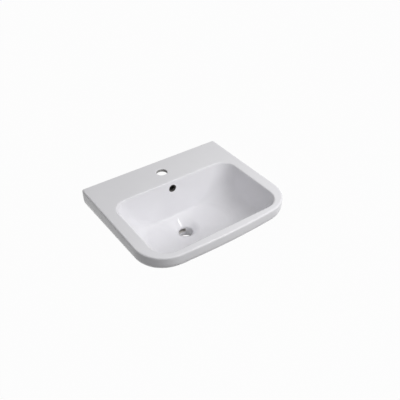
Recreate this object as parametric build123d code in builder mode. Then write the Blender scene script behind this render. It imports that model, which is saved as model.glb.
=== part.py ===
"""Wall-hung ceramic basin with its two wall fixing sets.

Millimetres, +Z up, +X to the right as seen from the front, front towards -Y. The wall is the plane
Y = 0. The origin is on the wall, midway between the two fixing holes.
"""

import os
from math import atan, cos, radians, sin, sqrt, tan

from build123d import *

# Basin, outside. A depth is measured down from the rim.
basin_width = 500.0
basin_depth = 417.0  # wall to the middle of the front
front_bow = 14.0  # how far the front runs back from its middle to the line of each side
front_corner_radius = 96.0
back_corner_radius = 4.0
wall = 11.0  # fired ceramic, where nothing else is said
rim_edge_radius = 5.0

# Lip: upright below the rim, then turned under in a quarter circle, deep at the wall, shallow in front
lip_upright_back = 32.0
lip_upright_front = 24.0
lip_turn_back = 60.0
lip_turn_front = 24.0
lip_sections = 6

# Bowl
side_rim = 38.0  # bowl to the side of the basin
front_rim = 26.0  # bowl to the front of the basin
bowl_back = 120.0  # wall to the back edge of the bowl
bowl_depth = 134.0  # to the edge of the floor
side_draft = 5.0  # degrees from upright
back_draft = 4.0
front_draft = 20.0
side_turn = 75.0  # radius from wall to floor
back_turn = 9.0
front_turn = 70.0
back_corner = 46.0  # plan radius at the rim
front_corner = 54.0
corner_growth = 0.3  # mm of plan radius for each mm of depth
largest_corner = 0.48  # share of the bowl's length, so that two corners never meet
bowl_edge_radius = 4.0
bowl_sections = 5

# Waste hole, in a round recess of the floor, with a flat seat under it
waste_from_wall = 191.0
waste_radius = 23.0
waste_rim_radius = 25.0
waste_edge = 3.0
waste_length = 38.0  # rim of the hole to the seat
recess_radius = 40.0
recess_fall = 11.5  # edge of the recess to the rim of the hole
floor_fall = 11.0  # edge of the floor to the edge of the recess
seat_radius = 38.0
boss_flare = 12.0
boss_flare_depth = 18.0

# Tap hole
tap_from_wall = 59.5
tap_radius = 17.5
tap_edge_radius = 2.0

# Overflow: a hole in the back of the bowl, and a channel behind and under it to a slot in the waste hole
overflow_radius = 12.5
overflow_depth = 28.0
channel_width = 26.0
channel_gap = 12.0
channel_top = 15.0
channel_wall = 8.0
slot_drop = 8.5  # rim of the waste hole to the top of the slot
slot_height = 14.0

# Back: open in the middle, with a panel on each side for the fixings
hollow_front = 300.0  # how far forward from the wall the sides are hollow
panel_thickness = 14.0
panel_inner = 95.0  # middle of the basin to the edge of a panel
panel_corner = 22.0
rear_lip_depth = 25.0
hand_opening_width = 356.0

# Fixings, M10, in the order in which they go on
fixing_spacing = 280.0
fixing_depth = 60.0
bush_radius = 10.5
bush_clearance = 0.5
bush_flange_radius = 16.0
bush_flange = 3.0
bush_setback = 1.0  # the sleeve stops this short of the wall
stud_radius = 5.0
stud_clearance = 0.25
bush_edge = 0.8
washer_radius = 15.0
washer_thickness = 2.5
nut_across_flats = 16.0
nut_height = 8.4
nut_face_inset = 0.5
nut_cone_angle = 30.0
thread_clearance = 0.05
nut_travel = 12.0
stud_spare = 2.0  # stud beyond the nut at the end of its travel
stud_chamfer = 1.0
screw_radius = 4.2
screw_length = 50.0
screw_point = 8.0
plug_radius = 7.0
plug_length = 58.0
screw_end_clearance = 0.3  # point of the screw to the end of its bore
plug_slot = 1.4
plug_slot_start = 10.0
plug_slot_length = 36.0

bowl_half_width = basin_width / 2 - side_rim
straight_depth = bowl_depth - side_turn  # where the side walls begin to turn into the floor
recess_depth = bowl_depth + floor_fall
waste_rim_depth = recess_depth + recess_fall
slot_top = waste_rim_depth + slot_drop
slot_bottom = slot_top + slot_height
seat_depth = waste_rim_depth + waste_length
fixing_hole_radius = bush_radius + bush_clearance
washer_seat = panel_thickness + bush_flange
nut_seat = washer_seat + washer_thickness
stud_length = nut_seat + nut_height + nut_travel + stud_spare


def level(depth):
    """Height of what lies this far below the rim."""
    return fixing_depth - depth


def along_lip(back, front, y):
    """A size of the lip, which changes evenly from the wall to the front."""
    return back + (front - back) * -y / basin_depth


def lip_outline(turned, depth=None):
    """Outline of the basin where the lip has turned under by an angle in degrees, on a plane that
    falls towards the wall. With a depth, the plane is level, at that depth."""
    rise = sin(radians(turned))
    inset = 1 - cos(radians(turned))
    at_wall = lip_upright_back + lip_turn_back * rise
    in_front = lip_upright_front + lip_turn_front * rise
    if depth is not None:
        at_wall = in_front = depth
    tilt = atan((at_wall - in_front) / basin_depth)
    stretch = 1 / cos(tilt)
    plane = Plane((0, 0, level(at_wall)), x_dir=(1, 0, 0), z_dir=(0, sin(tilt), cos(tilt)))
    y_front = -basin_depth + lip_turn_front * inset
    y_side = y_front + front_bow
    half_back = basin_width / 2 - lip_turn_back * inset
    half_front = basin_width / 2 - along_lip(lip_turn_back, lip_turn_front, y_side) * inset
    front_left = (-half_front, y_side * stretch)
    front_right = (half_front, y_side * stretch)
    with BuildSketch(plane) as outline:
        with BuildLine():
            Polyline(front_left, (-half_back, 0), (half_back, 0), front_right)
            ThreePointArc(front_left, (0, y_front * stretch), front_right)
        make_face()
        fillet(outline.vertices().group_by(Axis.Y)[-1], back_corner_radius)
        fillet(outline.vertices().group_by(Axis.Y)[0], front_corner_radius - lip_turn_front * inset)
    return outline.sketch


def hollow_outline(y):
    """Cross-section of the space inside the lip, one wall in from its outside."""
    upright = along_lip(lip_upright_back, lip_upright_front, y)
    turn = along_lip(lip_turn_back, lip_turn_front, y) - wall
    half = basin_width / 2 - wall
    with BuildSketch(Plane.XZ.offset(-y)) as outline:
        with BuildLine():
            Polyline(
                (-half, level(upright)),
                (-half, level(wall)),
                (half, level(wall)),
                (half, level(upright)),
            )
            CenterArc((half - turn, level(upright)), turn, 0, -90)
            Line((half - turn, level(upright + turn)), (turn - half, level(upright + turn)))
            CenterArc((turn - half, level(upright)), turn, 270, -90)
        make_face()
    return outline.sketch


def bowl_inset(depth, draft, turn, floor):
    """How far a wall of the bowl has come in at a depth: it leans by its draft, and turns into the
    floor in a quarter circle."""
    into_turn = max(depth - (floor - turn), 0.0)
    return depth * tan(radians(draft)) + turn - sqrt(max(turn**2 - into_turn**2, 0.0))


def bowl_outline(depth, skin=0.0):
    """Outline of the bowl at a depth or, with a skin, of what lies that thickness outside it."""
    floor = bowl_depth + skin
    half = bowl_half_width + skin - bowl_inset(depth, side_draft, side_turn + skin, floor)
    y_back = -bowl_back + skin - bowl_inset(depth, back_draft, back_turn + skin, floor)
    y_front = front_rim - basin_depth - skin + bowl_inset(depth, front_draft, front_turn + skin, floor)
    largest = largest_corner * (y_back - y_front)
    growth = skin + corner_growth * depth
    with BuildSketch(Plane.XY.offset(level(depth))) as outline:
        with Locations((0, (y_back + y_front) / 2)):
            Rectangle(2 * half, y_back - y_front)
        fillet(outline.vertices().group_by(Axis.Y)[-1], min(back_corner + growth, largest))
        fillet(outline.vertices().group_by(Axis.Y)[0], min(front_corner + growth, largest))
    return outline.sketch


def recess_outline(skin=0.0):
    """Edge of the recess: a square with corners so round that it is all but a circle."""
    radius = recess_radius + skin
    with BuildSketch(Plane.XY.offset(level(recess_depth + skin))) as outline:
        with Locations((0, -waste_from_wall)):
            RectangleRounded(2 * radius, 2 * radius, radius - 0.1)
    return outline.sketch


def bowl_turn(skin=0.0):
    """Outlines of the bowl from the end of its straight walls to the edge of its floor."""
    turned = [radians(90.0 * i / bowl_sections) for i in range(bowl_sections + 1)]
    return [bowl_outline(straight_depth + (side_turn + skin) * sin(a), skin) for a in turned]


def channel_outline(grown=0.0):
    """Side view of the overflow channel, down the back of the bowl's wall and forward to the waste
    hole, or of what lies that thickness outside it."""
    lean = tan(radians(back_draft))
    top = wall - bowl_back - channel_top * lean
    bend = wall - bowl_back - bowl_depth * lean
    slot = waste_radius / 2 - waste_from_wall
    with BuildSketch(Plane.YZ) as outline:
        with BuildLine():
            Polyline(
                (top, level(channel_top)),
                (bend, level(bowl_depth)),
                (bend - channel_gap, level(slot_top)),
                (slot, level(slot_top)),
                (slot, level(slot_bottom)),
                (bend, level(slot_bottom)),
                (bend + channel_gap, level(slot_top)),
                (top + channel_gap, level(channel_top)),
                close=True,
            )
        make_face()
        if grown:
            offset(amount=grown)
    return outline.sketch


with BuildPart() as basin:
    # The deck, rim and lip, as one block
    loft([lip_outline(0, 0), lip_outline(0)], ruled=True)
    loft([lip_outline(90.0 * i / (lip_sections - 1)) for i in range(lip_sections)])
    # The space behind and beside the bowl
    loft([hollow_outline(-panel_thickness), hollow_outline(-hollow_front)], ruled=True, mode=Mode.SUBTRACT)
    # The open middle of the back
    lip_bottom = lip_upright_back + lip_turn_back
    opening_height = 2 * (lip_bottom - rear_lip_depth)
    with BuildSketch(Plane.XZ):
        with Locations((0, level(rear_lip_depth + opening_height / 2))):
            RectangleRounded(2 * panel_inner, opening_height, panel_corner)
    extrude(amount=panel_thickness, mode=Mode.SUBTRACT)
    # The way in for a hand, from below
    hand_opening_front = bowl_back + wall
    with BuildSketch(Plane.XY.offset(level(lip_upright_back))):
        with Locations((0, -(panel_thickness + hand_opening_front) / 2)):
            Rectangle(hand_opening_width, hand_opening_front - panel_thickness)
    extrude(amount=-lip_bottom, mode=Mode.SUBTRACT)
    # The outside of the bowl: straight walls, their turn into the floor, and the slope to the recess
    loft([bowl_outline(0, wall), bowl_outline(straight_depth, wall)], ruled=True)
    loft(bowl_turn(wall))
    loft([bowl_outline(bowl_depth + wall, wall), recess_outline(wall)], ruled=True)
    with BuildSketch(Plane.XZ.offset(waste_from_wall)):
        with BuildLine():
            Polyline(
                (0, level(recess_depth)),
                (seat_radius + boss_flare, level(recess_depth)),
                (seat_radius + boss_flare, level(recess_depth + wall)),
                (seat_radius, level(recess_depth + wall + boss_flare_depth)),
                (seat_radius, level(seat_depth)),
                (0, level(seat_depth)),
                close=True,
            )
        make_face()
    waste_axis = Axis((0, -waste_from_wall, 0), (0, 0, 1))
    revolve(axis=waste_axis)
    # The outside of the overflow channel
    extrude(channel_outline(channel_wall), amount=channel_width / 2 + channel_wall, both=True)
    # The bowl
    loft([bowl_outline(bowl_depth), recess_outline()], ruled=True, mode=Mode.SUBTRACT)
    loft(bowl_turn(), mode=Mode.SUBTRACT)
    loft([bowl_outline(0), bowl_outline(straight_depth)], ruled=True, mode=Mode.SUBTRACT)
    with BuildSketch(Plane.XZ.offset(waste_from_wall)):
        with BuildLine():
            Polyline(
                (0, level(recess_depth)),
                (recess_radius, level(recess_depth)),
                (waste_rim_radius, level(waste_rim_depth)),
                (waste_radius, level(waste_rim_depth + waste_edge)),
                (waste_radius, level(seat_depth)),
                (0, level(seat_depth)),
                close=True,
            )
        make_face()
    revolve(axis=waste_axis, mode=Mode.SUBTRACT)
    # The overflow channel and its hole
    extrude(channel_outline(), amount=channel_width / 2, both=True, mode=Mode.SUBTRACT)
    with BuildSketch(Plane.XZ.offset(bowl_back - wall)):
        with Locations((0, level(overflow_depth))):
            Circle(overflow_radius)
    extrude(amount=3 * wall, mode=Mode.SUBTRACT)
    # The tap hole
    with BuildSketch(Plane.XY.offset(level(0))):
        with Locations((0, -tap_from_wall)):
            Circle(tap_radius)
    extrude(amount=-2 * wall, mode=Mode.SUBTRACT)
    # The fixing holes
    with BuildSketch(Plane.XZ):
        with GridLocations(fixing_spacing, 0, 2, 1):
            Circle(fixing_hole_radius)
    extrude(amount=2 * panel_thickness, mode=Mode.SUBTRACT)
    # Rounded edges of the rim, the bowl and the tap hole
    rim_edges = basin.faces().sort_by(Axis.Z)[-1].outer_wire().edges()
    fillet(rim_edges.filter_by(lambda e: e.center().Y < -back_corner_radius / 2), rim_edge_radius)
    bowl_edge, tap_edge = basin.faces().sort_by(Axis.Z)[-1].inner_wires().sort_by(SortBy.LENGTH, reverse=True)
    fillet(bowl_edge.edges(), bowl_edge_radius)
    fillet(tap_edge.edges(), tap_edge_radius)

basin.part.label = "basin"
os.makedirs("parts", exist_ok=True)
export_step(basin.part, "parts/basin.step")

for side, name in ((-1, "left"), (1, "right")):
    x = side * fixing_spacing / 2
    wall_side = Plane((x, 0, 0), x_dir=(-1, 0, 0), z_dir=(0, 1, 0))
    room_side = Plane((x, 0, 0), x_dir=(1, 0, 0), z_dir=(0, -1, 0))
    lengthwise = Plane((x, 0, 0), x_dir=(1, 0, 0), z_dir=(0, 0, 1))
    stud_axis = Axis((x, 0, 0), (0, 1, 0))

    # Nylon plug in the wall, slit along its middle so that the screw spreads it
    with BuildPart() as plug:
        with BuildSketch(wall_side):
            Circle(plug_radius)
        extrude(amount=plug_length)
        with BuildSketch(wall_side):
            Circle(screw_radius + thread_clearance)
        extrude(amount=screw_length + screw_end_clearance, mode=Mode.SUBTRACT)
        with BuildSketch(wall_side.offset(plug_slot_start)):
            Rectangle(3 * plug_radius, plug_slot)
            Rectangle(plug_slot, 3 * plug_radius)
        extrude(amount=plug_slot_length, mode=Mode.SUBTRACT)
    plug.part.label = f"{name}_wall_plug"
    export_step(plug.part, f"parts/{name}_wall_plug.step")

    # Steel hanger bolt: a pointed screw in the plug, and a stud out through the basin
    with BuildPart() as bolt:
        with BuildSketch(lengthwise):
            with BuildLine():
                Polyline(
                    (0, -stud_length),
                    (stud_radius - stud_chamfer, -stud_length),
                    (stud_radius, stud_chamfer - stud_length),
                    (stud_radius, 0),
                    (screw_radius, 0),
                    (screw_radius, screw_length - screw_point),
                    (0, screw_length),
                    close=True,
                )
            make_face()
        revolve(axis=stud_axis)
    bolt.part.label = f"{name}_hanger_bolt"
    export_step(bolt.part, f"parts/{name}_hanger_bolt.step")

    # Nylon bush: a sleeve in the fixing hole, with a flange on the face of the panel
    with BuildPart() as bush:
        with BuildSketch(room_side.offset(bush_setback)):
            Circle(bush_radius)
        extrude(amount=washer_seat - bush_setback)
        with BuildSketch(room_side.offset(panel_thickness)):
            Circle(bush_flange_radius)
        extrude(amount=bush_flange)
        with BuildSketch(room_side):
            Circle(stud_radius + stud_clearance)
        extrude(amount=washer_seat, mode=Mode.SUBTRACT)
        room_edges = bush.edges().filter_by(GeomType.CIRCLE).group_by(Axis.Y)[0]
        fillet(room_edges.sort_by(SortBy.LENGTH)[-1], bush_edge)
    bush.part.label = f"{name}_bush"
    export_step(bush.part, f"parts/{name}_bush.step")

    # Steel washer
    with BuildPart() as washer:
        with BuildSketch(room_side.offset(washer_seat)):
            Circle(washer_radius)
            Circle(stud_radius + stud_clearance, mode=Mode.SUBTRACT)
        extrude(amount=washer_thickness)
    washer.part.label = f"{name}_washer"
    export_step(washer.part, f"parts/{name}_washer.step")

    # Steel hexagon nut, its corners turned down to a cone at both ends
    with BuildPart() as nut:
        with BuildSketch(room_side.offset(nut_seat)):
            RegularPolygon(nut_across_flats / 2, 6, major_radius=False)
            Circle(stud_radius + thread_clearance, mode=Mode.SUBTRACT)
        extrude(amount=nut_height)
        corner_radius = nut_across_flats / sqrt(3)
        face_radius = nut_across_flats / 2 - nut_face_inset
        cone_height = (corner_radius - face_radius) * tan(radians(nut_cone_angle))
        with BuildSketch(lengthwise):
            with BuildLine():
                Polyline(
                    (0, -nut_seat),
                    (face_radius, -nut_seat),
                    (corner_radius, -nut_seat - cone_height),
                    (corner_radius, cone_height - nut_seat - nut_height),
                    (face_radius, -nut_seat - nut_height),
                    (0, -nut_seat - nut_height),
                    close=True,
                )
            make_face()
        revolve(axis=stud_axis, mode=Mode.INTERSECT)
    nut.part.label = f"{name}_nut"
    export_step(nut.part, f"parts/{name}_nut.step")
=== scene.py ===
"""Wall-hung ceramic basin with its two wall fixing sets, dressed for the studio.

Metres, +Z up, front towards -Y, and the wall is the plane y = 0. A depth is measured down from the rim.
"""

import bmesh
import bpy
import numpy as np
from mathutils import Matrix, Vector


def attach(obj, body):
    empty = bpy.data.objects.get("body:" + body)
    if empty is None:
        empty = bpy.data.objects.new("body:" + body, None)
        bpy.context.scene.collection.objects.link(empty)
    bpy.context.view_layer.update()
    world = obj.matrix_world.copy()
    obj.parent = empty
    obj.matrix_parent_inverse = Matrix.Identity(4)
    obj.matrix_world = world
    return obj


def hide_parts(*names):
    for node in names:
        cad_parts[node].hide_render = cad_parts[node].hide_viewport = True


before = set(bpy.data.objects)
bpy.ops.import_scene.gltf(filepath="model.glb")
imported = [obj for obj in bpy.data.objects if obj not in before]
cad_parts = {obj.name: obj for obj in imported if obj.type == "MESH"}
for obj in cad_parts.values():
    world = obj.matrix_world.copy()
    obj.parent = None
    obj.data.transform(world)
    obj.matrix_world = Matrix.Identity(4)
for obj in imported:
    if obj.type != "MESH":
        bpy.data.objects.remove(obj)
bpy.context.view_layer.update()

# Basin. One casting of white vitreous china, hollow behind the bowl, dipped in glaze and fired.
# Its wall face and the seat under the waste hole are wiped clean of glaze and ground flat.

rim_height = 0.060
half_width = 0.250
front_y = -0.417
front_bow = 0.014
front_corner = 0.096
back_corner = 0.004
wall = 0.011
rim_edge = 0.005

lip_upright_back = 0.032
lip_upright_front = 0.024
lip_turn_back = 0.060
lip_turn_front = 0.024

bowl_half = 0.212
bowl_back_y = -0.120
bowl_front_y = -0.391
bowl_depth = 0.134
side_lean = np.tan(np.radians(5))
back_lean = np.tan(np.radians(4))
front_lean = np.tan(np.radians(20))
side_turn = 0.075
back_turn = 0.009
front_turn = 0.070
bowl_back_corner = 0.046
bowl_front_corner = 0.054
corner_growth = 0.3
bowl_edge = 0.004
edge_turn = np.radians(86)
floor_slope_share = 0.85
back_turn_end = 1.6  # bearing by which the tight turn at the back has opened out
back_turn_fade = 0.9

waste_y = -0.191
waste_radius = 0.023
waste_rim_radius = 0.025
waste_rim_depth = 0.1565
waste_edge = 0.003
recess_radius = 0.040
recess_depth = 0.145
seat_depth = 0.1945
seat_radius = 0.038
boss_flare_depth = 0.018
under_reach = 0.090
cove_start = 1.28  # bearing at which the opening for a hand ends and the cove begins
cove_fade = 0.3
cove_least = 0.0003
cove_growth = 0.009

tap_y = -0.0595
tap_radius = 0.0175
tap_edge = 0.002

overflow_radius = 0.0125
overflow_depth = 0.028
overflow_edge = 0.0015
channel_half = 0.013
channel_gap = 0.012
channel_top = 0.015
channel_wall = 0.008
channel_outer_edge = 0.003
channel_inner_edge = 0.001
channel_outer_bend = 0.004
channel_inner_bend = 0.0025
overflow_length = 0.016
slot_top = 0.165
slot_bottom = 0.179

hollow_front_y = -0.300
panel = 0.014
panel_inner = 0.095
panel_corner = 0.022
rear_lip_depth = 0.025
hand_opening_half = 0.178
hand_opening_corner = 0.020
fixing_x = 0.140
fixing_hole = 0.011
fixing_edge = 0.0008
opening_edge = 0.003
back_opening_depth = 0.160
space_gap = 0.0003  # left between the bowl's outside and the space cut out behind it
sharp_angle = np.radians(32)

glaze_thin = (0.855, 0.85, 0.877)
glaze_thick = (0.88, 0.875, 0.90)
bare_china = (0.70, 0.68, 0.65)


def new_material(name):
    """A material, its node tree and its shader."""
    material = bpy.data.materials.new(name)
    material.use_nodes = True
    return material, material.node_tree, material.node_tree.nodes["Principled BSDF"]


def noise(tree, scale, detail=2.0, stretch=(1, 1, 1)):
    """Noise fixed to the piece: scale in features a metre, drawn out by a stretch."""
    place = tree.nodes.new("ShaderNodeTexCoord")
    mapping = tree.nodes.new("ShaderNodeMapping")
    mapping.inputs["Scale"].default_value = stretch
    texture = tree.nodes.new("ShaderNodeTexNoise")
    texture.inputs["Scale"].default_value = scale
    texture.inputs["Detail"].default_value = detail
    tree.links.new(place.outputs["Object"], mapping.inputs["Vector"])
    tree.links.new(mapping.outputs["Vector"], texture.inputs["Vector"])
    return texture.outputs["Fac"]


def between(tree, value, low, high, start=0.0, stop=1.0):
    """A value carried from the span start to stop to the span low to high."""
    span = tree.nodes.new("ShaderNodeMapRange")
    for socket, number in zip(("From Min", "From Max", "To Min", "To Max"), (start, stop, low, high)):
        span.inputs[socket].default_value = number
    tree.links.new(value, span.inputs["Value"])
    return span.outputs["Result"]


def blended(tree, share, first, second):
    """Colour between two: each a colour or another output."""
    mix = tree.nodes.new("ShaderNodeMix")
    mix.data_type = "RGBA"
    tree.links.new(share, mix.inputs["Factor"])
    for socket, colour in ((mix.inputs[6], first), (mix.inputs[7], second)):
        if isinstance(colour, tuple):
            socket.default_value = (*colour, 1)
        else:
            tree.links.new(colour, socket)
    return mix.outputs[2]


def ripple(tree, shader, height, distance):
    """Bumps of a real height in metres."""
    bump = tree.nodes.new("ShaderNodeBump")
    bump.inputs["Strength"].default_value = 1.0
    bump.inputs["Distance"].default_value = distance
    tree.links.new(height, bump.inputs["Height"])
    tree.links.new(bump.outputs["Normal"], shader.inputs["Normal"])


# The glaze runs a little thicker and cooler in places, and its skin is faintly uneven. It is ground
# off the wall face and the seat, where the bare body is matt.
glaze, tree, shader = new_material("white_glaze")
place = tree.nodes.new("ShaderNodeTexCoord")
split = tree.nodes.new("ShaderNodeSeparateXYZ")
tree.links.new(place.outputs["Object"], split.inputs[0])
at_wall = between(tree, split.outputs["Y"], 0, 1, -0.0006, -0.0003)
seat = rim_height - seat_depth
at_seat = between(tree, split.outputs["Z"], 1, 0, seat + 0.0003, seat + 0.0006)
bare = tree.nodes.new("ShaderNodeMath")
bare.operation = "MAXIMUM"
tree.links.new(at_wall, bare.inputs[0])
tree.links.new(at_seat, bare.inputs[1])
thickness = between(tree, noise(tree, 9, 3), 0, 1, 0.35, 0.65)
fired = blended(tree, thickness, glaze_thin, glaze_thick)
tree.links.new(blended(tree, bare.outputs[0], fired, bare_china), shader.inputs["Base Color"])
gloss = between(tree, noise(tree, 30), 0.08, 0.13, 0.3, 0.7)
dull = tree.nodes.new("ShaderNodeMath")
dull.operation = "MAXIMUM"
tree.links.new(gloss, dull.inputs[0])
tree.links.new(between(tree, bare.outputs[0], 0, 0.75), dull.inputs[1])
tree.links.new(dull.outputs[0], shader.inputs["Roughness"])
ripple(tree, shader, noise(tree, 55, 1), 0.00008)
shader.inputs["Specular IOR Level"].default_value = 0.42

# The wall of the tap hole is punched, unglazed and dulled. Its dark grey is painted shade, for the shadow
# down the hole, far darker than the bare body
tap_hole_shade, tree, shader = new_material("tap_hole_painted_shade")
tap_hole_shade_mottle = between(tree, noise(tree, 90, 3), 0, 1, 0.3, 0.7)
tinted = blended(tree, tap_hole_shade_mottle, (0.44, 0.435, 0.43), (0.50, 0.495, 0.485))
tree.links.new(tinted, shader.inputs["Base Color"])
shader.inputs["Roughness"].default_value = 0.85
ripple(tree, shader, noise(tree, 500, 3), 0.0002)

# Inside the overflow channel the body is bare. Near the mouth it is painted near black, painted shade for
# the dark of the deep cavity, and lower down it goes over to the bare body's own pale colour
inner, tree, shader = new_material("channel_painted_shade")
channel_shade_mottle = between(tree, noise(tree, 60, 3), 0, 1, 0.3, 0.7)
place = tree.nodes.new("ShaderNodeTexCoord")
split = tree.nodes.new("ShaderNodeSeparateXYZ")
tree.links.new(place.outputs["Object"], split.inputs[0])
unshaded_share = between(tree, split.outputs["Z"], 1, 0, -0.095, -0.06)
channel_shade_colour = blended(tree, channel_shade_mottle, (0.10, 0.095, 0.09), (0.16, 0.155, 0.15))
tree.links.new(blended(tree, unshaded_share, channel_shade_colour, bare_china), shader.inputs["Base Color"])
shader.inputs["Roughness"].default_value = 0.8
ripple(tree, shader, noise(tree, 300, 3), 0.0003)


def spaced(count, peaks):
    """Bearings from the wall (0) round to the front (pi), closer together where a peak
    (bearing, spread, height) adds to an even density."""
    fine = np.linspace(0, np.pi, 20001)
    density = 1 + sum(h * np.exp(-(((fine - b) / s) ** 2)) for b, s, h in peaks)
    total = np.concatenate([[0], np.cumsum((density[1:] + density[:-1]) / 2)])
    return np.interp(np.linspace(0, total[-1], count), total, fine)


# The right half of every outline is seen from the waste's axis, and the left half mirrors it
bearing = spaced(181, [(0.9189, 0.012, 9.0), (1.30, 0.20, 0.8), (2.30, 0.25, 0.7)])
toward_x, toward_y = np.sin(bearing), np.cos(bearing)


def to_line(px, py, nx, ny, dx, dy):
    """Distance along a ray to the line through a point, with a normal."""
    return (px * nx + py * ny) / (dx * nx + dy * ny)


def to_arc(px, py, radius, dx, dy):
    """Distance along a ray to the far side of a circle round a point."""
    square = dx * dx + dy * dy
    along = px * dx + py * dy
    rest = px * px + py * py - radius * radius
    return (along + np.sqrt(np.maximum(along * along - square * rest, 0))) / square


def reach(half_back, half_front, y_back, y_front, r_back, r_front, bow=1e-6, stretch=1.0):
    """Distance from the waste's axis, at each bearing, to an outline with a straight back, straight
    sides, a front bowed in an arc, and rounded corners: the line or arc whose sector holds the
    bearing. A stretch draws the outline longer from back to front, and then squeezes it again."""
    dx, dy = toward_x, toward_y * stretch
    back = (y_back - waste_y) * stretch
    front = (y_front - waste_y) * stretch
    bow = bow * stretch
    side = front + bow
    sx, sy = half_front - half_back, side - back
    length = np.hypot(sx, sy)
    sx, sy = sx / length, sy / length
    nx, ny = -sy, sx
    cut = r_back * np.tan(np.arctan2(-sy, sx) / 2)
    back_x, back_y = half_back - cut, back - r_back
    round_front = (half_front**2 + bow**2) / (2 * bow)
    bow_y = front + round_front
    px, py = half_front - r_front * nx, side - r_front * ny
    along = px * sx + (py - bow_y) * sy
    rest = px**2 + (py - bow_y) ** 2 - (round_front - r_front) ** 2
    shift = np.sqrt(along**2 - rest) - along
    corner_x, corner_y = px + shift * sx, py + shift * sy
    away = np.hypot(corner_x, corner_y - bow_y)
    ex, ey = corner_x / away, (corner_y - bow_y) / away
    sectors = [
        np.arctan2(back_x, back / stretch),
        np.arctan2(back_x + r_back * nx, (back_y + r_back * ny) / stretch),
        np.arctan2(corner_x + r_front * nx, (corner_y + r_front * ny) / stretch),
        np.arctan2(corner_x + r_front * ex, (corner_y + r_front * ey) / stretch),
    ]
    with np.errstate(divide="ignore", invalid="ignore"):
        pieces = [
            to_line(0, back, 0, 1, dx, dy),
            to_arc(back_x, back_y, r_back, dx, dy),
            to_line(half_front, side, nx, ny, dx, dy),
            to_arc(corner_x, corner_y, r_front, dx, dy),
            to_arc(0, bow_y, round_front, dx, dy),
        ]
    return np.select([bearing < s for s in sectors], pieces[:4], pieces[4])


def lip(turned):
    """Reach and depth of the outside where the lip has turned under by an angle: each outline lies
    on a plane that falls towards the wall, and comes in by the turn times 1 - cos."""
    rise, inset = np.sin(turned), 1 - np.cos(turned)
    at_wall = lip_upright_back + lip_turn_back * rise
    in_front = lip_upright_front + lip_turn_front * rise
    y_front = front_y + lip_turn_front * inset
    share = (y_front + front_bow) / front_y
    turn_side = lip_turn_back + (lip_turn_front - lip_turn_back) * share
    distance = reach(
        half_width - lip_turn_back * inset,
        half_width - turn_side * inset,
        0,
        y_front,
        back_corner,
        front_corner - lip_turn_front * inset,
        front_bow,
        np.hypot(1, (at_wall - in_front) / front_y),
    )
    share = (waste_y + distance * toward_y) / front_y
    return distance, at_wall + (in_front - at_wall) * share


def rim(inset):
    """Reach of the rim's outline, drawn in at the sides and the front but not at the wall."""
    return reach(
        half_width - inset,
        half_width - inset,
        0,
        front_y + inset,
        np.maximum(back_corner - inset, 0.0004),
        front_corner - inset,
        front_bow,
    )


def bowl(depth, skin=0.0, grown=0.0):
    """Reach of the bowl's wall at a depth: it leans in by its draft, and turns into the floor in a
    quarter circle. A skin gives the outside of that thickness, and grown widens one outline."""
    floor = bowl_depth + skin

    def inset(lean, turn):
        """How far a wall has come in."""
        turn = turn + skin
        into = np.clip(depth - (floor - turn), 0, turn)
        return depth * lean + turn - np.sqrt(turn**2 - into**2)

    half = bowl_half + skin + grown - inset(side_lean, side_turn)
    y_back = bowl_back_y + skin + grown - inset(back_lean, back_turn)
    y_front = bowl_front_y - skin - grown + inset(front_lean, front_turn)
    largest = 0.48 * (y_back - y_front)
    growth = skin + grown + corner_growth * depth
    r_back = np.minimum(bowl_back_corner + growth, largest)
    r_front = np.minimum(bowl_front_corner + growth, largest)
    return reach(half, half, y_back, y_front, r_back, r_front)


def column(count, start=0.0, stop=1.0):
    """Even steps, one below the other, to set against the bearings."""
    return np.linspace(start, stop, count)[:, None]


def point(distance, depth):
    """One point of a profile at each bearing."""
    return np.stack([distance + 0 * bearing, depth + 0 * bearing])


def soft_profile(points, cuts, rows):
    """Profile through points, straight between them, each inner corner drawn as a parabola that
    leaves its two sides a given distance from the corner."""
    parts, start = [], points[0]
    for before, corner, after, cut, count in zip(points, points[1:], points[2:], cuts, rows):
        to_before, to_after = before - corner, after - corner
        a = corner + to_before * np.minimum(cut / np.hypot(*to_before), 0.49)
        b = corner + to_after * np.minimum(cut / np.hypot(*to_after), 0.49)
        t = column(count)[:, None]
        parts.append(start + (a - start) * column(count)[:-1][:, None])
        parts.append((1 - t) ** 2 * a + 2 * t * (1 - t) * corner + t**2 * b)
        start = b + (after - b) * 0.02
    parts.append(start + (points[-1] - start) * column(rows[-1])[:, None])
    return np.concatenate(parts)


def loops(profile):
    """Closed loops of points round the waste's axis, from rows of (reach, depth) at each bearing."""
    distance, depth = profile[:, 0], profile[:, 1]
    half = np.stack([distance * toward_x, waste_y + distance * toward_y, rim_height - depth], -1)
    other = half[:, -2:0:-1] * (-1, 1, 1)
    return np.concatenate([half, other], 1)


def new_piece(name, points, faces):
    """A mesh object from arrays of points and faces."""
    mesh = bpy.data.meshes.new(name)
    mesh.from_pydata(points.reshape(-1, 3).tolist(), [], faces)
    mesh.validate()
    piece = bpy.data.objects.new(name, mesh)
    bpy.context.scene.collection.objects.link(piece)
    return piece


def grid_faces(rows, columns, closed):
    """Quads of a grid whose rows are loops. A closed grid joins its last loop to its first."""
    row = np.arange(rows if closed else rows - 1)[:, None]
    k = np.arange(columns)[None, :]
    below, beside = (row + 1) % rows, (k + 1) % columns
    quad = [row * columns + k, row * columns + beside, below * columns + beside, below * columns + k]
    return np.stack(quad, -1).reshape(-1, 4)


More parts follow.
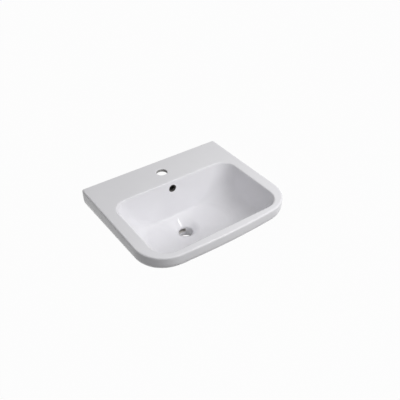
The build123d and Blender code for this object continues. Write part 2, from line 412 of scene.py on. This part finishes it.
def solid(name, points, closed, material):
    """Closed surface through loops of points: a ring if closed, or else with its two ends capped.
    The faces are turned round if the volume they hold comes out negative."""
    rows, columns = points.shape[:2]
    quads = grid_faces(rows, columns, closed)
    p = points.reshape(-1, 3)
    a, b, c, d = (p[quads[:, i]] for i in range(4))
    volume = np.einsum("ij,ij->i", a, np.cross(b, c)).sum() + np.einsum("ij,ij->i", a, np.cross(c, d)).sum()
    faces = quads.tolist()
    if not closed:
        first, last = p[:columns], p[-columns:]
        for end, sign in ((first, -1), (last, 1)):
            middle = end.mean(0)
            turned = np.cross(end, np.roll(end, -1, 0)).sum(0)
            volume += sign * middle @ turned
        faces.append(list(range(columns))[::-1])
        faces.append(list(range((rows - 1) * columns, rows * columns)))
    if volume < 0:
        faces = [face[::-1] for face in faces]
    piece = new_piece(name, points, faces)
    piece.data.materials.append(material)
    return piece


def carve(piece, tool, operation="DIFFERENCE"):
    """Cuts the tool out of the piece, or joins it on, and removes the tool."""
    change = piece.modifiers.new("carve", "BOOLEAN")
    change.operation = operation
    change.solver = "MANIFOLD"
    change.material_mode = "TRANSFER"
    change.object = tool
    depsgraph = bpy.context.evaluated_depsgraph_get()
    mesh = bpy.data.meshes.new_from_object(piece.evaluated_get(depsgraph))
    piece.modifiers.clear()
    piece.data = mesh
    bpy.data.objects.remove(tool)


# Inside of the bowl: wall, turn into the floor, slope to the recess, and the recess to the hole
angle = column(9)[1:] * edge_turn
edge_rows = np.stack([bowl(bowl_edge * (1 - np.cos(angle)), 0, bowl_edge * (1 - np.sin(angle))),
                      bowl_edge * (1 - np.cos(angle)) + 0 * bearing], 1)
straight_depth = bowl_depth - side_turn
depth = column(7, bowl_edge, straight_depth)[1:] + 0 * bearing
wall_rows = np.stack([bowl(depth), depth], 1)
floor_reach = bowl(np.array([[bowl_depth]]))[0]
slope = floor_slope_share * np.arctan2(recess_depth - bowl_depth, floor_reach - recess_radius)
near_back = np.clip((back_turn_end - bearing) / back_turn_fade, 0, 1)
turn = side_turn + (back_turn - side_turn) * near_back * near_back * (3 - 2 * near_back)
last = np.arcsin(1 - turn / side_turn * (1 - np.cos(slope)))
depth = bowl_depth - side_turn * (1 - np.sin(last * column(41)[1:]))
turn_rows = np.stack([bowl(depth), depth], 1)
floor_rows = soft_profile(
    [
        turn_rows[-1],
        point(recess_radius, recess_depth),
        point(waste_rim_radius, waste_rim_depth),
        point(waste_radius, waste_rim_depth + waste_edge),
        point(waste_radius, seat_depth),
        point(seat_radius, seat_depth),
        point(seat_radius, recess_depth + wall + boss_flare_depth),
        point(seat_radius + 0.013, recess_depth + wall),
        point(bowl(np.array([[bowl_depth + wall]]), wall)[0], bowl_depth + wall),
    ],
    [0.009, 0.0018, 0.0015, 0.001, 0.002, 0.006, 0.008],
    [13, 5, 5, 4, 5, 7, 9, 12],
)[1:]

# Outside of the bowl, up to where it meets the lip, with a cove between them except over the
# opening for a hand
turned = lip(column(46, 0, np.pi / 2))
plane_start = turned[0][-1]
inward = plane_start - column(45)[1:] * (plane_start - under_reach)
y_inward = waste_y + inward * toward_y
lip_bottom_back = lip_upright_back + lip_turn_back
lip_bottom_front = lip_upright_front + lip_turn_front
plane_depth = lip_bottom_back + (lip_bottom_front - lip_bottom_back) * y_inward / front_y
under = np.stack([np.concatenate([turned[0], inward]), np.concatenate([turned[1], plane_depth])])
inside = under[0] - bowl(under[1], wall)
first_inside = np.argmax(inside < 0, 0)
each = np.arange(len(bearing))
before_gap, after_gap = inside[first_inside - 1, each], inside[first_inside, each]
meets = first_inside - 1 + before_gap / (before_gap - after_gap)


def along(rows, index):
    """Points of each bearing's own profile at a place between its rows."""
    low = np.clip(np.floor(index).astype(int), 0, len(rows[0]) - 2)
    share = index - low
    return rows[:, low, each] * (1 - share) + rows[:, low + 1, each] * share


corner = along(under, meets)
clear_of_hand = np.clip((bearing - cove_start) / cove_fade, 0, 1)
cove = cove_least + cove_growth * clear_of_hand**2 * (3 - 2 * clear_of_hand)
step = np.hypot(*(under[:, first_inside, each] - under[:, first_inside - 1, each]))
lip_end = meets - cove / step
belly_start = corner[1] + cove
a, b = along(under, lip_end), np.stack([bowl(belly_start[None], wall)[0], belly_start])
t = column(9)[1:-1][:, None]
cove_rows = (1 - t) ** 2 * b + 2 * t * (1 - t) * corner + t**2 * a
fall = np.sin(column(33) * np.pi / 2)[::-1]
depth = belly_start + (bowl_depth + wall - belly_start) * fall
belly_rows = np.stack([bowl(depth, wall), depth], 1)[1:]
index = lip_end * column(26)[::-1]
lip_rows = np.stack([along(under, i) for i in index])

# Upright edge and rounded rim
depth = rim_edge + (turned[1][:1] - rim_edge) * column(4)[::-1][1:]
upright_rows = np.stack([rim(0) + 0 * depth, depth], 1)
angle = column(10)[1:] * np.pi / 2
edge = rim_edge * (1 - np.cos(angle))
rim_rows = np.stack([rim(edge), rim_edge * (1 - np.sin(angle)) + 0 * bearing], 1)
deck_start, deck_end = rim_rows[-1], point(bowl(np.array([[0.0]]), 0, bowl_edge)[0], 0.0)
deck_rows = deck_start + (deck_end - deck_start) * column(8)[1:][:, None]

profile = np.concatenate([
    deck_rows, edge_rows, wall_rows, turn_rows, floor_rows,
    belly_rows, cove_rows, lip_rows, upright_rows, rim_rows,
])
basin = solid("basin_casting", loops(profile), True, glaze)


def round_hole(radius, offsets, count=96):
    """Loops of a round hole: for each (place along its axis, growth), a circle in its own plane."""
    turned = np.linspace(0, 2 * np.pi, count, endpoint=False)
    places, growth = np.array(offsets).T[:, :, None]
    return (radius + growth) * np.cos(turned), (radius + growth) * np.sin(turned), places + 0 * turned


def lined(tool, first, last, columns, material):
    """Gives the faces between two loops of a tool, and so of its hole, another material."""
    tool.data.materials.append(material)
    for face in tool.data.polygons[first * columns : last * columns]:
        face.material_index = 1


def flare(start, edge, side):
    """Places and growths of a hole's rounded edge, from its wall out past a face at start: a quarter
    circle, left a little early so that it crosses the face at an angle."""
    angle = np.radians(np.linspace(0, 80, 7))
    inside, growth = edge * (1 - np.sin(angle)), edge * (1 - np.cos(angle))
    past = 0.0005
    steep = np.tan(angle[-1])
    out = (-past, growth[-1] + steep * (past + inside[-1]))
    return [(start - side * i, g) for i, g in [*zip(inside, growth), out]]


def rounded_box(half_x, low, high, radius, growth, count=12):
    """Loop round a rectangle in its own plane, from low to high, with rounded corners."""
    quarter = np.linspace(0, np.pi / 2, count)
    u, v = [], []
    for side_u, side_v, start in ((1, 1, 0), (-1, 1, 1), (-1, -1, 2), (1, -1, 3)):
        middle = high - radius if side_v > 0 else low + radius
        a = quarter + start * np.pi / 2
        u.append(side_u * (half_x - radius) + (radius + growth) * np.cos(a))
        v.append(middle + (radius + growth) * np.sin(a))
    return np.concatenate(u, -1), np.concatenate(v, -1)


# The space behind and beside the bowl, open in the middle of the back and from below for a hand
y = np.array([[-panel], [hollow_front_y]])
share = y / front_y
upright = lip_upright_back + (lip_upright_front - lip_upright_back) * share
turn = lip_turn_back + (lip_turn_front - lip_turn_back) * share - wall
hollow_half, roof_corner = half_width - wall, 0.006
quarter = np.linspace(0, np.pi / 2, 20)
x = np.concatenate([
    hollow_half - roof_corner * (1 - np.sin(quarter)) + 0 * y,
    hollow_half - turn * (1 - np.cos(quarter)),
], 1)
depth = np.concatenate([
    wall + roof_corner * (1 - np.cos(quarter)) + 0 * y,
    upright + turn * np.sin(quarter),
], 1)
section = np.stack([x, y + 0 * x, rim_height - depth], -1)
space = solid("space", np.concatenate([section, section[:, ::-1] * (-1, 1, 1)], 1), False, glaze)

rows = flare(0, opening_edge, 1)[::-1] + [(-panel / 2, 0.0)] + flare(-panel, opening_edge, -1)
opening = []
for place, growth in rows:
    low, high = rim_height - back_opening_depth, rim_height - rear_lip_depth
    u, v = rounded_box(panel_inner, low, high, panel_corner, growth)
    opening.append(np.stack([u, place + 0 * u, v], -1))
carve(basin, solid("back_opening", np.array(opening), False, glaze))

opening_front = bowl_back_y - wall
rows = [(0.06, 0.0), (0.006, 0.0)] + [(-p, g) for p, g in flare(0, opening_edge, 1)]
opening = []
for place, growth in rows:
    u, v = rounded_box(hand_opening_half, opening_front, -panel, hand_opening_corner, growth)
    underside = lip_bottom_back + (lip_bottom_front - lip_bottom_back) * v / front_y
    opening.append(np.stack([u, v, rim_height - underside + place], -1))
opening[0][..., 2] = rim_height - lip_upright_back
carve(space, solid("hand_opening", np.array(opening), False, glaze), "UNION")
depth = column(30, 0.0, 0.125)
outside = np.stack([bowl(depth, wall + space_gap), depth + 0 * bearing], 1)
carve(space, solid("bowl_outside", loops(outside), False, glaze))
carve(basin, space)


def widened(outline, amount):
    """A closed outline, drawn anticlockwise, moved outwards square to its sides."""
    before, after = np.roll(outline, 1, 0), np.roll(outline, -1, 0)
    first, second = outline - before, after - outline
    first, second = first / np.hypot(*first.T)[:, None], second / np.hypot(*second.T)[:, None]
    n1, n2 = (np.stack([n[:, 1], -n[:, 0]], -1) for n in (first, second))
    return outline + amount * (n1 + n2) / (1 + (n1 * n2).sum(1))[:, None]


def softened(corners, cut):
    """A closed outline with a parabola in each corner that leaves its sides at the cut."""
    before, after = np.roll(corners, 1, 0) - corners, np.roll(corners, -1, 0) - corners
    a = corners + before * (cut / np.hypot(*before.T))[:, None]
    b = corners + after * (cut / np.hypot(*after.T))[:, None]
    t = np.linspace(0, 1, 7)[None, :, None]
    a, b, corners = a[:, None], b[:, None], corners[:, None]
    return ((1 - t) ** 2 * a + 2 * t * (1 - t) * corners + t**2 * b).reshape(-1, 2)


def channel(slot_y, grown, cut):
    """Side view of the overflow channel as (y, z), with soft corners."""
    top = wall + bowl_back_y - channel_top * back_lean
    bend = wall + bowl_back_y - bowl_depth * back_lean
    corners = np.array([
        (top, -channel_top), (bend, -bowl_depth), (bend - channel_gap, -slot_top), (slot_y, -slot_top),
        (slot_y, -slot_bottom), (bend, -slot_bottom), (bend + channel_gap, -slot_top),
        (top + channel_gap, -channel_top),
    ]) + (0, rim_height)
    return softened(widened(corners, grown), cut)


def channel_solid(name, outline, half, edge, material):
    """The side view carried from left to right, with its two ends rounded."""
    angle = np.linspace(0, np.pi / 2, 6)
    places = half - edge * (1 - np.sin(angle))
    sections = [(-p, i) for p, i in zip(places[::-1], edge * (1 - np.cos(angle[::-1])))]
    sections += [(p, i) for p, i in zip(places, edge * (1 - np.cos(angle)))]
    loops_of = []
    for x_at, inset in sections:
        yz = widened(outline, -inset)
        loops_of.append(np.concatenate([np.full((len(yz), 1), x_at), yz], 1))
    return solid(name, np.array(loops_of), False, material)


outside = channel(waste_y + seat_radius, channel_wall, channel_outer_bend)
tool = channel_solid("channel_outside", outside, channel_half + channel_wall, channel_outer_edge, glaze)
carve(basin, tool, "UNION")
inside = channel(waste_y + waste_radius / 2, 0.0, channel_inner_bend)
# The channel's inside takes the painted shade
carve(basin, channel_solid("channel_inside", inside, channel_half, channel_inner_edge, inner))

# Overflow hole, its edge following the lean of the wall
lip_y = bowl_back_y - overflow_depth * back_lean
places = [(lip_y + overflow_length, 0.0)] + [(2 * lip_y - p, g) for p, g in flare(lip_y, overflow_edge, 1)]
x, z, y = round_hole(overflow_radius, places)
hole = np.stack([x, y + z * back_lean, rim_height - overflow_depth + z], -1)
tool = solid("overflow", hole, False, glaze)
# The overflow hole's wall takes the painted shade too
lined(tool, 0, 1, x.shape[1], inner)
carve(basin, tool)

# Tap hole
rows = flare(0, tap_edge, 1)[::-1] + [(-wall / 2, 0.0)] + flare(-wall, 0.001, -1)
x, y, z = round_hole(tap_radius, rows, 128)
tool = solid("tap", np.stack([x, tap_y + y, rim_height + z], -1), False, glaze)
# The tap hole's wall takes the painted shade
lined(tool, 7, 9, x.shape[1], tap_hole_shade)
carve(basin, tool)

# Fixing holes
for side in (-1, 1):
    rows = flare(0, fixing_edge, 1)[::-1] + [(-panel / 2, 0.0)] + flare(-panel, fixing_edge, -1)
    x, z, y = round_hole(fixing_hole, rows)
    carve(basin, solid("fixing", np.stack([side * fixing_x + x, y, z], -1), False, glaze))

# The cuts leave a few small faces adrift, back to back on the same corners
same_place = 1e-7
mended = bmesh.new()
mended.from_mesh(basin.data)
bmesh.ops.remove_doubles(mended, verts=mended.verts, dist=same_place)
sharing = {}
for face in mended.faces:
    sharing.setdefault(frozenset(face.verts), []).append(face)
doubled = [face for faces in sharing.values() if len(faces) > 1 for face in faces]
bmesh.ops.delete(mended, geom=doubled, context="FACES")
mended.to_mesh(basin.data)
mended.free()

basin.data.shade_smooth()
basin.data.set_sharp_from_angle(angle=sharp_angle)
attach(basin, "basin_body")
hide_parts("basin")


# Hanger bolts. A steel wood screw below and an M10 machine thread above, rolled and zinc plated. The
# screw is driven into the plug, and the stud carries the basin.

stud_radius = 0.005
stud_length = 0.0419
stud_pitch = 0.0015
stud_thread = 0.00092
plain_end = 0.004
screw_radius = 0.0042
screw_length = 0.050
screw_pitch = 0.0045
screw_thread = 0.0013
screw_point = 0.008

zinc, tree, shader = new_material("zinc_plate")
clouded = between(tree, noise(tree, 260, 3), 0, 1, 0.35, 0.65)
tinted = blended(tree, clouded, (0.60, 0.61, 0.63), (0.70, 0.71, 0.73))
tree.links.new(tinted, shader.inputs["Base Color"])
shader.inputs["Metallic"].default_value = 1.0
brushed = noise(tree, 900, 2, (1, 0.2, 1))
tree.links.new(between(tree, brushed, 0.24, 0.42, 0.3, 0.7), shader.inputs["Roughness"])
ripple(tree, shader, noise(tree, 1800, 2), 0.00002)


def fixing_part(name, kind, body):
    """Gives a finished fixing piece its shading and body, and hides the CAD node it stands in for."""
    piece = bpy.data.objects[f"{name}_{kind}_piece"]
    piece.data.shade_smooth()
    piece.data.set_sharp_from_angle(angle=sharp_angle)
    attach(piece, body)
    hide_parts(f"{name}_{kind}")


def lathe(name, side, radius, y, closed, material):
    """Solid round a fixing's axis, from radii for each (place, angle) and the places."""
    angle = np.linspace(0, 2 * np.pi, radius.shape[1], endpoint=False)
    x, z = side * fixing_x + radius * np.cos(angle), radius * np.sin(angle)
    return solid(name, np.stack([x, y + 0 * radius, z], -1), closed, material)


def helix(y, columns, pitch, crest, flank):
    """Depth of a right-hand thread, from 0 on its crest to 1 in its root, at each place and angle."""
    along_thread = y / pitch + np.linspace(0, 1, columns, endpoint=False)
    from_crest = np.abs(along_thread - np.round(along_thread))
    return np.clip((from_crest - crest / 2) / flank, 0, 1)


stud_y = column(390, -stud_length, 0)
runout = np.clip(-(stud_y + plain_end) / stud_pitch, 0, 1)
cut = 0.5 + (helix(stud_y, 48, stud_pitch, 0.125, 0.3125) - 0.5) * runout
stud = np.minimum(stud_radius - stud_thread * cut, stud_radius - 0.001 + stud_y + stud_length)
screw_y = column(170, 0, screw_length)[1:]
begin = np.clip((screw_y - 0.003) / screw_pitch, 0, 1)
cut = 0.5 + (helix(screw_y, 48, screw_pitch, 0.1, 0.2) - 0.5) * begin
point_share = np.clip((screw_length - screw_y) / screw_point, 0.03, 1)
screw = (screw_radius - screw_thread * cut) * point_share
bolt_radius, bolt_y = np.concatenate([stud, screw]), np.concatenate([stud_y, screw_y])

for side, name in ((-1, "left"), (1, "right")):
    lathe(f"{name}_hanger_bolt_piece", side, bolt_radius, bolt_y, False, zinc)
    fixing_part(name, "hanger_bolt", "basin_body")


# Wall plugs. Grey nylon, moulded with ribs and slit crosswise along the middle, so that the screw
# spreads them in the wall.

plug_radius = 0.007
plug_length = 0.058
plug_bore = 0.00425
plug_bore_depth = 0.0503
plug_collar = 0.0025
rib_pitch = 0.004
rib_depth = 0.0007
slit_width = 0.0014
slit_start = 0.010
slit_length = 0.036
slit_reach = 0.010

grey, tree, shader = new_material("grey_nylon")
mottled = between(tree, noise(tree, 120, 3), 0, 1, 0.3, 0.7)
tinted = blended(tree, mottled, (0.15, 0.155, 0.165), (0.18, 0.185, 0.195))
tree.links.new(tinted, shader.inputs["Base Color"])
tree.links.new(between(tree, noise(tree, 500), 0.42, 0.56, 0.3, 0.7), shader.inputs["Roughness"])
ripple(tree, shader, noise(tree, 1500, 2), 0.00003)

outer_y = column(120, 0, plug_length)
saw = np.clip((outer_y - plug_collar) / rib_pitch % 1 * 1.25, 0, 1) * (outer_y > plug_collar)
outer = plug_radius - rib_depth * np.where(saw < 1, saw, 0)
outer = np.minimum(outer, plug_radius - 0.0015 + (plug_length - outer_y) * 0.4)
plug_profile = np.concatenate([
    [(0.0002, plug_bore_depth), (plug_bore * 0.9, plug_bore_depth),
     (plug_bore, plug_bore_depth - 0.0004), (plug_bore, 0.0006), (plug_bore + 0.0005, 0)],
    [(plug_radius - 0.0003, 0)],
    np.concatenate([outer, outer_y], 1)[1:],
    [(0.0002, plug_length)],
])

for side, name in ((-1, "left"), (1, "right")):
    shape = plug_profile[:, :1] + np.zeros(48)
    plug = lathe(f"{name}_wall_plug_piece", side, shape, plug_profile[:, 1:], False, grey)
    for wide, high in ((slit_reach, slit_width / 2), (slit_width / 2, slit_reach)):
        ring = np.array([(-wide, -high), (wide, -high), (wide, high), (-wide, high)])
        ends = (slit_start, slit_start + slit_length)
        slit = [[(side * fixing_x + x, y, z) for x, z in ring] for y in ends]
        carve(plug, solid("slit", np.array(slit), False, grey))
    fixing_part(name, "wall_plug", "basin_body")


# Bushes and washers. The flanged bush of natural nylon keeps the steel off the china, and the zinc
# plated washer spreads the nut's load on it. Its side towards the room has a rounded edge.

bush_radius = 0.0105
bush_flange_radius = 0.016
bush_flange = 0.003
bush_setback = 0.001
bore = 0.00525
washer_radius = 0.015
washer_thickness = 0.0025
washer_seat = panel + bush_flange
nut_seat = washer_seat + washer_thickness

natural, tree, shader = new_material("natural_nylon")
mottled = between(tree, noise(tree, 90, 3), 0, 1, 0.3, 0.7)
tinted = blended(tree, mottled, (0.77, 0.765, 0.73), (0.82, 0.815, 0.785))
tree.links.new(tinted, shader.inputs["Base Color"])
tree.links.new(between(tree, noise(tree, 400), 0.36, 0.5, 0.3, 0.7), shader.inputs["Roughness"])
ripple(tree, shader, noise(tree, 1500, 2), 0.00002)
shader.inputs["Subsurface Weight"].default_value = 0.1
shader.inputs["Subsurface Radius"].default_value = (0.001, 0.001, 0.0008)

bush_profile = softened(np.array([
    (bore, -bush_setback), (bore, -washer_seat), (bush_flange_radius, -washer_seat),
    (bush_flange_radius, -panel), (bush_radius, -panel), (bush_radius, -bush_setback),
]), np.array([0.0004, 0.0004, 0.0008, 0.0004, 0.0003, 0.0008]))
washer_profile = softened(np.array([
    (bore, -washer_seat), (bore, -nut_seat), (washer_radius, -nut_seat), (washer_radius, -washer_seat),
]), np.array([0.0001, 0.0005, 0.0006, 0.00015]))

for side, name in ((-1, "left"), (1, "right")):
    for kind, shape, body, slot, material in (
        ("bush", bush_profile, "basin_body", "bush_nylon", natural),
        ("washer", washer_profile, f"{name}_washer_body", "zinc_steel", zinc),
    ):
        lathe(f"{name}_{kind}_piece", side, shape[:, :1] + np.zeros(96), shape[:, 1:], True, material)
        fixing_part(name, kind, body)


# Nuts. M10 hexagon nuts of zinc plated steel, their corners turned down to a cone at both ends and
# their bores countersunk.

nut_apothem = 0.008
nut_height = 0.0084
nut_face = 0.0075
nut_cone = np.tan(np.radians(30))
nut_bore = 0.00505
countersink = 0.0005

angle = np.linspace(0, 2 * np.pi, 96, endpoint=False)
hexagon = nut_apothem / np.cos(angle % (np.pi / 3) - np.pi / 6)
cone = (hexagon.max() - nut_face) * nut_cone
rise = column(12, 0, cone)
turned_down = np.minimum(hexagon, nut_face + rise / nut_cone)
nut_radius = np.concatenate([
    [nut_bore + 0 * angle, nut_bore + countersink + 0 * angle], turned_down, turned_down[::-1],
    [nut_bore + countersink + 0 * angle, nut_bore + 0 * angle],
])
nut_y = -nut_seat - np.concatenate([
    [[countersink], [0]], rise, nut_height - rise[::-1], [[nut_height], [nut_height - countersink]],
])

for side, name in ((-1, "left"), (1, "right")):
    lathe(f"{name}_nut_piece", side, nut_radius, nut_y, True, zinc)
    fixing_part(name, "nut", f"{name}_nut_body")


# Studio. A pale floor well below the basin and a pale world, both white to the camera, and soft
# daylight from the front and the right, as from a large window, with a small lamp for the sparkle.

floor_depth = -0.8
floor_half = 6.0
white_share = 0.975  # of what the camera sees of the floor; the rest is lit, and takes the shadow
world_strength = 0.32

corners = [(x, y, floor_depth) for x, y in ((-1, -1), (1, -1), (1, 1), (-1, 1))]
floor = new_piece("floor", np.array(corners) * (floor_half, floor_half, 1), [[0, 1, 2, 3]])


def white_to_the_eye(tree, low, high):
    """A value that is high for rays from the camera, in reflections and through glass, or else low."""
    path = tree.nodes.new("ShaderNodeLightPath")
    seen = path.outputs["Is Camera Ray"]
    for kind in ("Is Glossy Ray", "Is Transmission Ray"):
        either = tree.nodes.new("ShaderNodeMath")
        either.operation = "MAXIMUM"
        tree.links.new(seen, either.inputs[0])
        tree.links.new(path.outputs[kind], either.inputs[1])
        seen = either.outputs[0]
    value = tree.nodes.new("ShaderNodeMapRange")
    value.inputs["To Min"].default_value = low
    value.inputs["To Max"].default_value = high
    tree.links.new(seen, value.inputs["Value"])
    return value.outputs["Result"]


pale = bpy.data.materials.new("pale_floor")
pale.use_nodes = True
tree = pale.node_tree
paint = tree.nodes["Principled BSDF"]
paint.inputs["Base Color"].default_value = (0.16, 0.16, 0.16, 1)
paint.inputs["Roughness"].default_value = 0.9
glow = tree.nodes.new("ShaderNodeEmission")
mix = tree.nodes.new("ShaderNodeMixShader")
tree.links.new(white_to_the_eye(tree, 0.0, white_share), mix.inputs[0])
tree.links.new(paint.outputs[0], mix.inputs[1])
tree.links.new(glow.outputs[0], mix.inputs[2])
tree.links.new(mix.outputs[0], tree.nodes["Material Output"].inputs[0])
floor.data.materials.append(pale)

world = bpy.context.scene.world or bpy.data.worlds.new("studio")
bpy.context.scene.world = world
world.use_nodes = True
tree = world.node_tree
tree.nodes["Background"].inputs["Color"].default_value = (1, 1, 1, 1)
strength = white_to_the_eye(tree, world_strength, 1.0)
tree.links.new(strength, tree.nodes["Background"].inputs["Strength"])


def lamp(name, place, target, size, power, mirrored):
    """Square area lamp that faces a target, and shows in reflections or not."""
    data = bpy.data.lights.new(name, "AREA")
    data.size = size
    data.energy = power
    holder = bpy.data.objects.new(name, data)
    bpy.context.scene.collection.objects.link(holder)
    holder.location = place
    holder.visible_glossy = mirrored
    direction = Vector(target) - Vector(place)
    holder.rotation_euler = direction.to_track_quat("-Z", "Y").to_euler()


lamp("window", (0.8, -1.45, 1.4), (0, -0.2, 0), 1.3, 24.5, False)
lamp("sparkle", (0.68, -1.05, 1.45), (0, -0.15, 0), 0.25, 2.2, True)

camera_data = bpy.data.cameras.new("camera")
camera_data.lens = 45.88
camera = bpy.data.objects.new("camera", camera_data)
bpy.context.scene.collection.objects.link(camera)
camera.location = (-0.6800, -1.2245, 0.9852)
camera.rotation_euler = np.radians([90 - 37.698, 0, -35.469])
bpy.context.scene.camera = camera
bpy.context.scene.view_settings.view_transform = "Standard"
